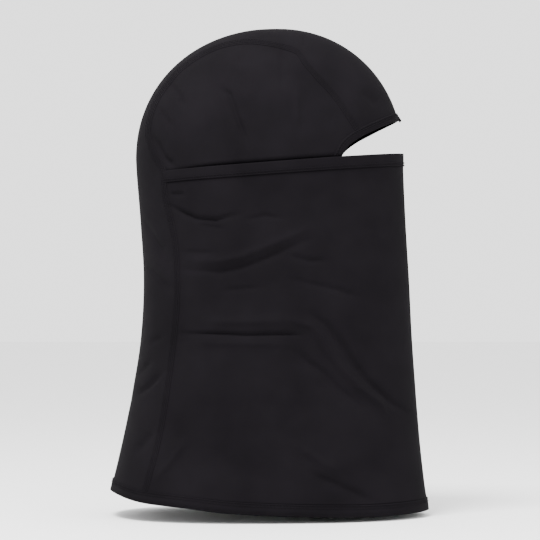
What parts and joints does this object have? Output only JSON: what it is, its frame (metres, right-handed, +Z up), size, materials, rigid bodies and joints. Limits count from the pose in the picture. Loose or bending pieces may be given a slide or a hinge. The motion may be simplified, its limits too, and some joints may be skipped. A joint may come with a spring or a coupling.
{
  "type": "balaclava",
  "caption": "Black jersey balaclava with a hinged mask that folds down from the nose to below the chin, and a long neck that covers the throat and nape.",
  "frame": {"origin": "middle of the head cavity, level with the bridge of the nose", "axes": "+X the way the wearer faces, +Y towards the wearer's left, +Z up to the crown"},
  "size_m": [0.2647, 0.199, 0.3994],
  "materials": {
    "jersey": "matt",
    "hem": "matt",
    "thread": "satin"
  },
  "bodies": {
    "root": {"crown_panel": "jersey", "right_hood_side": "jersey", "left_hood_side": "jersey", "right_side_seam": "thread", "left_side_seam": "thread", "neck_panel": "jersey", "brow_hem": "hem", "brow_hem_stitching": "thread", "right_hood_hem": "hem", "left_hood_hem": "hem", "neck_hem": "hem", "neck_hem_stitching": "thread"},
    "mask": {"mask_panel": "jersey", "mask_hem": "hem", "mask_hem_stitching": "thread"}
  },
  "joints": [
    {"name": "mask_hinge", "type": "hinge", "parent": "root", "child": "mask", "pos_m": [-0.084, 0, -0.011], "axis": [0, 1, 0], "range_deg": [0, 24]}
  ]
}
